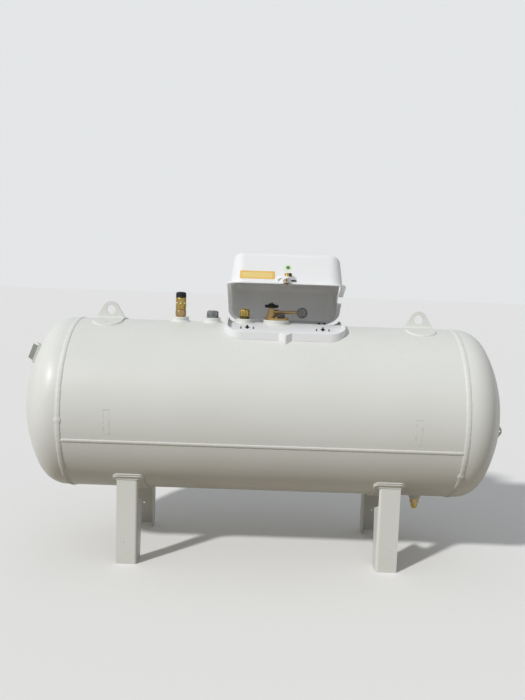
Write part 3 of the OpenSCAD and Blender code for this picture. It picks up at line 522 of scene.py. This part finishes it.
def gauge_dial(name, middle, facing, radius, sweep, marks, numbers):
    """A dial laid in a plane: right and up span it, a disc carries ticks, numbers and a needle, and a shallow
    lens, whose height falls about as the square of the distance from its middle, closes it."""
    middle, facing = np.array(middle, float), np.array(facing, float)
    up = np.array([0.0, 0.0, 1.0]) if abs(facing[2]) < 0.5 else np.array([0.0, 1.0, 0.0])
    right = np.cross(up, facing)
    first = 90 + sweep / 2

    def lay(uvw):
        return middle + uvw[..., 0:1] * right + uvw[..., 1:2] * up + uvw[..., 2:3] * facing

    def round_rings(shares, levels):
        turn = np.arange(64) / 64 * 2 * np.pi
        reach = np.array(shares)[:, None] * radius
        level = np.array(levels)[:, None]
        return lay(np.stack(np.broadcast_arrays(reach * np.cos(turn), reach * np.sin(turn), level), -1))

    disc = round_rings([0.0, 1.0, 1.0, 0.0], [0.0, 0.0, face_top, face_top])
    new_piece(name + "_face", disc, grid_faces(4, 64), dial_paint)
    angle = np.radians(np.linspace(first, first - sweep, marks))[:, None]
    long = np.where(np.arange(marks) % 5 == 0, long_tick, short_tick)[:, None] * radius
    at = radius * tick_end - (1 - box[:, 0]) * long
    aside = (2 * box[:, 1] - 1) * radius * tick_half_w
    level = np.broadcast_to(face_top + box[:, 2] * (tick_top - face_top), at.shape)
    ticks = np.stack([at * np.cos(angle) - aside * np.sin(angle), at * np.sin(angle) + aside * np.cos(angle),
                      level], -1)
    sides = box_sides[None] + np.arange(marks)[:, None, None] * len(box)
    new_piece(name + "_ticks", lay(ticks), sides.reshape(-1, 4), print_paint)
    aim = math.radians(first - sweep * needle_at)
    hand = radius * np.array([[-0.22, -0.05], [0.0, -0.07], [0.74, -0.012], [0.74, 0.012], [0.0, 0.07],
                              [-0.22, 0.05]])
    hand = hand @ [[math.cos(aim), math.sin(aim)], [-math.sin(aim), math.cos(aim)]]
    layers = np.stack([np.column_stack([hand, np.full(6, level)]) for level in needle_levels])
    faces = grid_faces(2, 6).tolist() + [[5, 4, 3, 2, 1, 0], [6, 7, 8, 9, 10, 11]]
    needle = bpy.data.meshes.new(name + "_needle")
    needle.from_pydata(lay(layers).reshape(-1, 3).tolist(), [], faces)
    pieces = [("_needle", needle, needle_paint)]
    for k, label in enumerate(numbers):
        text = bpy.data.curves.new(name + "_number", "FONT")
        text.body, text.align_x, text.align_y = label, "CENTER", "CENTER"
        text.size, text.extrude = radius * number_h, number_relief
        holder = bpy.data.objects.new(name + "_number", text)
        bpy.context.scene.collection.objects.link(holder)
        bpy.context.view_layer.update()
        number = bpy.data.meshes.new_from_object(holder)
        bpy.data.objects.remove(holder)
        flat_points = np.empty(len(number.vertices) * 3)
        number.vertices.foreach_get("co", flat_points)
        where = math.radians(first - sweep * k / (len(numbers) - 1))
        shift = np.array([math.cos(where), math.sin(where), 0.0]) * radius * number_r + [0, 0, number_level]
        number.vertices.foreach_set("co", lay(flat_points.reshape(-1, 3) + shift).reshape(-1))
        pieces.append(("_number_" + str(k + 1), number, print_paint))
    for ending, mesh, finish in pieces:
        mesh.materials.clear()
        mesh.materials.append(finish)
        piece = bpy.data.objects.new(name + ending, mesh)
        bpy.context.scene.collection.objects.link(piece)
        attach(piece, "tank")
    glass = round_rings([0.0, 1.0, 1.0, 0.85, 0.6, 0.3, 0.0],
                        [lens_rim, lens_rim, 0.0028, 0.0033, 0.0038, 0.0041, 0.0042])
    new_piece(name + "_lens", glass, grid_faces(7, 64), lens)


gauge_dial("pressure_gauge", pressure_dial_at, (0, -1, 0), radius=0.0208, sweep=270, marks=26,
           numbers=("0", "5", "10", "15", "20", "25"))
gauge_dial("level_gauge", level_dial_at, (0, 0, 1), radius=0.0182, sweep=240, marks=21,
           numbers=("0", "25", "50", "75", "100"))

# Drain valve: a stamped brass hexagon that hangs from its boss under the right end, over a turned outlet
# with a knurled ring.
rounds = [(0.0000, 0.0212), (0.0012, 0.0220), (0.0208, 0.0220), (0.0220, 0.0208)]
rings = [*hexagon(0.0381 / 2, rounds), (0.0222, 0.0170)]
piece = turned("drain_valve_hexagon", (drain_x, 0, drain_top), rings, stamped_brass, down=True)
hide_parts("drain_valve")
knurled = 0.0150 + 0.00025 * np.cos(48 * section)
rings = [(0.0220, 0.0140), (0.0232, 0.0146), (0.0245, knurled), (0.0385, knurled), (0.0400, 0.0146),
         (0.0418, 0.0130), (0.0422, 0.0116), (0.0430, 0.0120), (0.0492, 0.0119), (0.0500, 0.0110)]
piece = turned("drain_valve_outlet", (drain_x, 0, drain_top), rings, bright_brass, down=True)
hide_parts("drain_valve")

# Nameplate: a blank plate of aluminium, held to its painted bracket by four domed rivets and by the lips
# folded over it along its upper and lower edges.
plate_metal, tree, shader = new_finish("satin_aluminium", "#86877f", 0.38, 1.0)
place = add_node(tree, "TexCoord").outputs["Object"]
# Satin aluminium, coloured far darker than bare metal as a painted dark reflection, and brushed in strokes
# 0.5 mm apart and about 60 mm long
brushed = add_node(tree, "Mapping", {"Vector": place, "Scale": (cells(0.5), cells(58.8), cells(0.5))})
strokes = add_node(tree, "TexNoise", {"Vector": brushed.outputs["Vector"], "Scale": 1.0, "Detail": 2.0})
add_node(tree, "MapRange", {"Value": strokes.outputs["Fac"], "To Min": 0.3, "To Max": 0.5},
         to=shader.inputs["Roughness"])
add_node(tree, "Bump", {"Height": strokes.outputs["Fac"], "Strength": 0.2, "Distance": 0.0001},
         to=shader.inputs["Normal"])
coat(plate_metal, "nameplate")
plate_size, plate_off, plate_face = (0.101, 0.077), 0.019, 0.001
rivet_inset, rivet_r, rivet_rise = (0.006, 0.010), 0.0026, 0.0013
lip_width, lip_thick, lip_over, lip_past = 0.006, 0.0028, 0.002, 0.001
plate_aside, plate_above = math.radians(14.6), math.radians(22.2)
# The head's crown and knuckle radii, 0.8 and 0.154 of the tank's diameter, its straight flange, and how far
# in the crown's centre lies
crown_r, knuckle_r, head_flange = 0.8 * 2 * tank_r, 0.154 * 2 * tank_r, 0.027
crown_angle = math.asin((tank_r - knuckle_r) / (crown_r - knuckle_r))
crown_x = head_flange - (crown_r - knuckle_r) * math.cos(crown_angle)
plate_turn = Matrix.Rotation(math.radians(-62), 3, "Z") @ Matrix.Rotation(math.radians(69), 3, "X")
plate_way = Vector((-math.cos(plate_above) * math.cos(plate_aside),
                    -math.cos(plate_above) * math.sin(plate_aside), math.sin(plate_above)))
plate_at = Vector((-half_len - crown_x, 0, axis_z)) + (crown_r + plate_off) * plate_way


def on_nameplate(points):
    """Points given about the nameplate's middle, across it, up it and out of it, turned into their place."""
    return np.asarray(points, float) @ np.array(plate_turn).T + np.array(plate_at)


for sy, name in ((-1, "nameplate_lower_lip"), (1, "nameplate_upper_lip")):
    lip = ((box - 0.5) * [plate_size[0] + lip_past, lip_width, lip_thick]
           + [0, sy * (plate_size[1] / 2 - lip_width / 2 + lip_over), plate_face])
    new_piece(name, on_nameplate(lip), box_sides, enamel)
rivets = [(sx * (plate_size[0] / 2 - rivet_inset[0]), sy * (plate_size[1] / 2 - rivet_inset[1]), plate_face)
          for sx in (-1, 1) for sy in (-1, 1)]
domes("nameplate_rivets", on_nameplate(rivets), [plate_turn.col[2]] * 4, rivet_r, rivet_rise, plate_metal)

# Valve tray and hood: moulded in white ABS, the tray to stand on the shell's crown and the hood to shut
# over its lip. The satin skin lets a little light in, has yellowed in patches of 25 cm, and has a moulded
# grain of 1 mm over faint sinks of 7 cm.
white_abs, tree, shader, place, _ = mottled_finish(
    "moulded_white_abs", "#e8e9e8", "#eeeff1", "#e7e7e6", size_mm=250, detail=3.0, roughness=0.36,
    Subsurface_Weight=0.8, Subsurface_Radius=(1.0, 1.0, 0.9), Subsurface_Scale=0.004)
grain = add_node(tree, "TexNoise", {"Vector": place, "Scale": cells(1), "Detail": 2.0})
sunken = add_node(tree, "TexNoise", {"Vector": place, "Scale": cells(71.4), "Detail": 0.0})
sinks = add_node(tree, "Bump", {"Height": sunken.outputs["Fac"], "Strength": 0.25, "Distance": 0.0015})
add_node(tree, "Bump", {"Height": grain.outputs["Fac"], "Strength": 0.2, "Distance": 0.0001,
                        "Normal": sinks.outputs["Normal"]}, to=shader.inputs["Normal"])
coat(white_abs, "valve_tray", "valve_hood")

# Fixing pads: strips of black rubber between the tray's floor and the shell, which show through the
# cross and the two slots over each fixing, dark in place of the shade inside them: painted shade.
hood_x, fixing_x, fixing_y = 0.088, 0.175, 0.108
pad_half, pad_skins, pad_steps = (0.040, 0.021), (tank_r + 0.0002, tank_r + 0.0012), 9
# Rubber is dead matt, and greys where it has worn in patches of about 4 mm
shade_rubber = mottled_finish("black_rubber_painted_shade", "#161616", "#0f0f0f", "#2a2926", size_mm=3.85, detail=4.0,
                        roughness=0.8)[0]
fixings = [(hood_x + sx * fixing_x, sy * fixing_y, along + across)
           for sx, across in ((-1, "_left"), (1, "_right")) for sy, along in ((-1, "front"), (1, "rear"))]
# A pad is two square grids of points on the shell's round, one over the other, and a skirt round their rims
index = np.arange(pad_steps**2).reshape(pad_steps, pad_steps)
rim = np.r_[index[:, 0], index[-1, 1:], index[-2::-1, -1], index[0, -2:0:-1]]
lower = grid_faces(pad_steps, pad_steps, wrap_columns=False)
skirt = np.stack([rim, np.roll(rim, -1), np.roll(rim, -1) + index.size, rim + index.size], 1)
faces = np.vstack([lower, lower[:, ::-1] + index.size, skirt])
u, v = np.meshgrid(np.linspace(-1, 1, pad_steps), np.linspace(-1, 1, pad_steps), indexing="ij")
for middle_x, middle_y, name in fixings:
    x, y = middle_x + u * pad_half[0], middle_y + v * pad_half[1]
    skins = [np.stack([x, y, axis_z + np.sqrt(r**2 - y**2)], -1) for r in pad_skins]
    new_piece("fixing_pad_" + name, np.stack(skins), faces, shade_rubber)

# Push-in fixings: moulded in black plastic, each a flat head on the tray's floor with a short ribbed stem
# standing up from it.
floor_top = tank_r + 0.004
rings = [(-0.0040, 0.0030), (-0.0002, 0.0060), (0.0000, 0.0100), (0.0016, 0.0100), (0.0024, 0.0088),
         (0.0030, 0.0042), (0.0052, 0.0036), (0.0056, 0.0044), (0.0066, 0.0044), (0.0072, 0.0034),
         (0.0094, 0.0034), (0.0098, 0.0042), (0.0108, 0.0042), (0.0120, 0.0026)]
for x, y, name in fixings:
    piece = turned("push_fixing_" + name, (0, 0, 0), rings, cap_black)
    lean = math.asin(y / floor_top)
    seat = (x, y, axis_z + floor_top * math.cos(lean))
    piece.data.transform(Matrix.Translation(seat) @ Matrix.Rotation(-lean, 4, "X"))

# Hinges: pressed from steel strip and zinc plated. Screws hold their leaves under the hood's rim, in black
# caps that fit in the 5 mm gap over the tray's lip. The black caps are painted shade: they stand for the
# hinge leaves seen dark in that gap.
# Zinc plate is a bright grey with a faint milky bloom in patches of about 8 mm
zinc_plate = mottled_finish("zinc_plated_strip", "#b2b5b6", "#c2c4c3", "#9a9c9a", size_mm=7.69, detail=4.0,
                            roughness=0.34, metallic=1.0)[0]
coat(zinc_plate, "hinge_brackets", "hood_hinges")
hinge_x, hinge_y, hinge_z, hood_open = 0.190, 0.217, 1.084, math.radians(30)
# From the closed hood, about its middle and over its hinge line, to its place 30 degrees open
hood_pose = (Matrix.Translation((hood_x, hinge_y, hinge_z)) @ Matrix.Rotation(-hood_open, 4, "X")
             @ Matrix.Translation((0, -hinge_y, 0)))


def in_hood(points):
    """Points given as in the closed hood, turned open with it."""
    return np.asarray(points, float) @ np.array(hood_pose)[:3, :3].T + np.array(hood_pose)[:3, 3]


# The rim's underside falls by 0.43 towards the rear, and is 2.8 mm over the hinge line at the screws
rim_fall, rim_over, screw_y, screw_in, screw_out = 0.43, 0.0028, 0.2015, 0.010, 0.018
shade_cap_r, shade_cap_rise = 0.0053, 0.0028
caps = np.array([(s * hinge_x + e, screw_y, rim_over) for s in (-1, 1) for e in (-screw_in, screw_out)])
ways = in_hood(caps + [0.0, -rim_fall, -1.0]) - in_hood(caps)
# Black caps under the rim: painted shade of the hinge leaves in the gap
domes("hinge_caps_painted_shade", in_hood(caps), ways, shade_cap_r, shade_cap_rise, cap_black,
      "hood")

# Lock on the hood's prow: a brass cylinder lock whose key face looks up through the prow's lid beside its
# black dust cover. A moulded white pull stands out on the left and a black plastic catch on the right; the
# catch's black is painted shade, for the shaded side of a rib like the pull.
coat(bright_brass, "hood_lock")
hood_wall_y = 0.194
nose_reach, nose_half, nose_slope = 0.031, 0.005, 0.031 / 0.036


def nose_patch(name, x, z, half_w, half_h, power, thick, lift, finish):
    """A sheet that follows the prow's nose, whose front stands at nose_reach for nose_half to each side and
    then falls back by nose_slope. Its outline is |u|^power + |v|^power = 1, its rings are that outline made
    smaller."""
    turn = np.arange(48) / 48 * 2 * np.pi
    u, v = [np.sign(way) * np.abs(way) ** (2 / power) for way in (np.cos(turn), np.sin(turn))]
    share = np.array([0.0, 0.25, 0.5, 0.75, 1.0, 1.0, 0.75, 0.5, 0.25, 0.0])[:, None]
    off = np.repeat([lift, lift + thick], 5)[:, None]
    across = x + share * u * half_w
    back = nose_slope * np.clip(np.abs(across) - nose_half, 0, None)
    points = np.stack([across, -hood_wall_y - nose_reach + back - off, z + share * v * half_h], -1)
    new_piece(name, in_hood(points), grid_faces(10, 48), finish, "hood")


def hood_turned(name, x, y, rings, finish):
    """A turned piece that stands upright in the closed hood and leans with it."""
    piece = turned(name, (0, 0, 0), rings, finish, "hood")
    piece.data.transform(hood_pose @ Matrix.Translation((x, y, 0)))


def bent_strip(name, middle_line, width, thick, finish):
    """A strip of even width bent along a line given as in the closed hood, its flat side upwards."""
    line = np.asarray(middle_line, float)
    ahead = unit(np.gradient(line, axis=0))
    side = unit(np.cross(ahead, [0.0, 0.0, 1.0]))
    up = np.cross(side, ahead)
    corner = np.array([[-1, -1], [-1, 1], [1, 1], [1, -1]]) * [width / 2, thick / 2]
    points = line[:, None] + corner[None, :, :1] * side[:, None] + corner[None, :, 1:] * up[:, None]
    start, stop = [np.broadcast_to(line[k], (1, 4, 3)) for k in (0, -1)]
    points = np.concatenate([start, points, stop])
    new_piece(name, in_hood(points), grid_faces(len(points), 4), finish, "hood", crease=50)


# A zinc guard wraps the nose, a grey sheet that stands for the shaded arched recess there: painted shade.
# The barrel's keyway end looks out of it, its slot a black sheet as painted shade.
nose_patch("lock_guard_painted_shade", -0.002, 0.0105, half_w=0.0165, half_h=0.0104, power=3.0, thick=0.0010, lift=0.0,
           finish=zinc_plate)
nose_patch("lock_barrel_end", -0.003, 0.0090, half_w=0.0062, half_h=0.0086, power=2.0, thick=0.0020,
           lift=0.0010, finish=bright_brass)
nose_patch("lock_keyway_painted_shade", -0.003, 0.0090, half_w=0.0022, half_h=0.0058, power=3.0, thick=0.0003,
           lift=0.0030, finish=cap_black)
lock_y, cover_x, cover_back = -hood_wall_y - 0.013, 0.0135, 0.004
rings = [(0.0485, 0.0116), (0.0505, 0.0122), (0.0512, 0.0118), (0.0516, 0.0080), (0.0512, 0.0078)]
hood_turned("lock_key_rose", 0, lock_y, rings, bright_brass)
rings = [(0.044, 0.0085), (0.0545, 0.0085), (0.0560, 0.0075)]
hood_turned("lock_dust_cover", cover_x, lock_y + cover_back, rings, cap_black)
rings = [(-0.0010, 0.0065), (-0.0016, 0.0072), (0.0020, 0.0075), (0.0040, 0.0075)]
hood_turned("lock_cam_end", 0, lock_y, rings, stamped_brass)
pull_line = [(-0.020, -0.206, 0.030), (-0.030, -0.206, 0.029), (-0.038, -0.205, 0.026),
             (-0.045, -0.204, 0.021)]
bent_strip("lock_pull", pull_line, width=0.012, thick=0.003, finish=white_abs)
# The catch is black as painted shade: a rib like the pull, on the side away from the light
shade_catch_line = [(0.018, -0.212, 0.0140), (0.026, -0.212, 0.0160), (0.034, -0.211, 0.0165),
              (0.040, -0.210, 0.0150), (0.043, -0.209, 0.0125)]
bent_strip("lock_catch_painted_shade", shade_catch_line, width=0.009, thick=0.0028, finish=cap_black)

# Label and dot on the hood's front: plain self-adhesive vinyl, one amber and one green, laid by hand
# with a few creases.
label_at, label_half, label_corner, label_t = (-0.1355, 0.0525), (0.0805, 0.0215), 0.004, 0.0004
panel_half, panel_corner, panel_t = (0.0690, 0.0130), 0.006, 0.0002
dot_at, dot_r, border_r, dot_t = (0.0045, 0.0970), 0.0090, 0.0175, 0.0003
hood_draft, vinyl_sunk = math.radians(4.5), 0.0002


def vinyl_sheet(name, at, half, corner, thick, finish, lift=0.0):
    """A round-cornered sheet on the hood's front wall, which leans back by the draft: rings from the middle
    of its back round its edge to the middle of its face."""
    back, _ = plate_outline(2 * half[0], 2 * half[1], corner)
    face, _ = plate_outline(2 * half[0], 2 * half[1], corner, grow=-min(0.3 * corner, 0.0006))
    x, z = np.moveaxis(np.stack([0 * back, back, back, face, 0 * back]) + at, -1, 0)
    out = np.array([-vinyl_sunk, -vinyl_sunk, thick * 0.7, thick, thick])[:, None] + lift
    points = np.stack([x, z * math.tan(hood_draft) - hood_wall_y - out * math.cos(hood_draft), z], -1)
    new_piece(name, in_hood(points), grid_faces(5, len(back)), finish, "hood")


# Amber vinyl bleaches in the sun in patches of about 4 cm, and creases about 15 mm apart catch the light
amber_vinyl, tree, shader, place, _ = mottled_finish(
    "amber_vinyl", "#e2b552", "#e0b04a", "#e9c878", size_mm=38.5, detail=3.0, roughness=0.42)
crease = add_node(tree, "TexNoise", {"Vector": place, "Scale": cells(15.15), "Detail": 2.0})
add_node(tree, "Bump", {"Height": crease.outputs["Fac"], "Strength": 0.3, "Distance": 0.0006},
         to=shader.inputs["Normal"])
# Printed and plain vinyls, satin and even in colour
pale_print = new_finish("pale_amber_print", "#e6cc82", 0.42)[0]
green_vinyl = new_finish("green_vinyl", "#4a7c58", 0.42)[0]
pale_green = new_finish("pale_green_vinyl", "#d9e9c4", 0.45)[0]
vinyl_sheet("amber_label", label_at, label_half, label_corner, label_t, amber_vinyl)
vinyl_sheet("amber_label_panel", label_at, panel_half, panel_corner, panel_t, pale_print, lift=label_t)
vinyl_sheet("green_dot_border", dot_at, (border_r, border_r), border_r - 0.0001, dot_t, pale_green)
vinyl_sheet("green_dot", dot_at, (dot_r, dot_r), dot_r - 0.0001, dot_t, green_vinyl, lift=dot_t)

# Studio: a pale level floor and a pale even sky under one sun-like lamp, high on the front left. Both look
# pale to the camera, in gloss and through glass, while open ground and a softer sky light the object.
sun_from, sun_width, sun_strength = (-0.565, -0.565, 0.602), math.radians(4), 2.42
sky_strength, seen_sky_strength, floor_size = 0.44, 0.95, 60


def looked_at(tree):
    """One where a ray comes from the camera, a gloss or a glass, nought where it only carries light."""
    rays = add_node(tree, "LightPath")
    shows = rays.outputs["Is Camera Ray"]
    for other in ("Is Glossy Ray", "Is Transmission Ray"):
        shows = add_node(tree, "Math", {0: shows, 1: rays.outputs[other]}, operation="MAXIMUM").outputs[0]
    return shows


floor_paint, tree, shader = new_finish("studio_floor", "#f1f0ed", 0.9)
add_node(tree, "MixRGB", {0: looked_at(tree), 1: linear("#887b64"), 2: linear("#f1f0ed")},
         to=shader.inputs["Base Color"])
bpy.ops.mesh.primitive_plane_add(size=floor_size, location=(0, 0, 0))
floor = bpy.context.object
floor.name = "studio_floor"
floor.data.materials.append(floor_paint)
world = bpy.data.worlds.new("studio")
bpy.context.scene.world = world
world.use_nodes = True
tree = world.node_tree
lighting = tree.nodes["Background"]
lighting.inputs["Color"].default_value = linear("#eef2f7")
lighting.inputs["Strength"].default_value = sky_strength
seen = add_node(tree, "Background", {"Color": linear("#e9ebec"), "Strength": seen_sky_strength})
add_node(tree, "MixShader", {0: looked_at(tree), 1: lighting.outputs[0], 2: seen.outputs[0]},
         to=tree.nodes["World Output"].inputs["Surface"])
sun = bpy.data.objects.new("sun", bpy.data.lights.new("sun", "SUN"))
sun.data.energy, sun.data.angle = sun_strength, sun_width
sun.rotation_euler = Vector(sun_from).to_track_quat("Z", "Y").to_euler()
bpy.context.scene.collection.objects.link(sun)

# Camera: at eye height before the middle of the tank, tilted a little down and rolled a little, with the
# place and lens that were fitted to the photo.
eye, focal_px, photo_w, sensor_mm = Vector((-0.0128, -3.4043, 1.3751)), 714.4, 525, 36.0
tilt, roll = math.radians(6.73), math.radians(1.94)
camera = bpy.data.objects.new("camera", bpy.data.cameras.new("camera"))
camera.data.sensor_fit, camera.data.sensor_width = "HORIZONTAL", sensor_mm
camera.data.lens = focal_px / photo_w * sensor_mm
camera.matrix_world = (Matrix.Translation(eye) @ Matrix.Rotation(math.pi / 2 - tilt, 4, "X")
                       @ Matrix.Rotation(roll, 4, "Z"))
bpy.context.scene.collection.objects.link(camera)
bpy.context.scene.camera = camera
bpy.context.scene.view_settings.view_transform = "Standard"
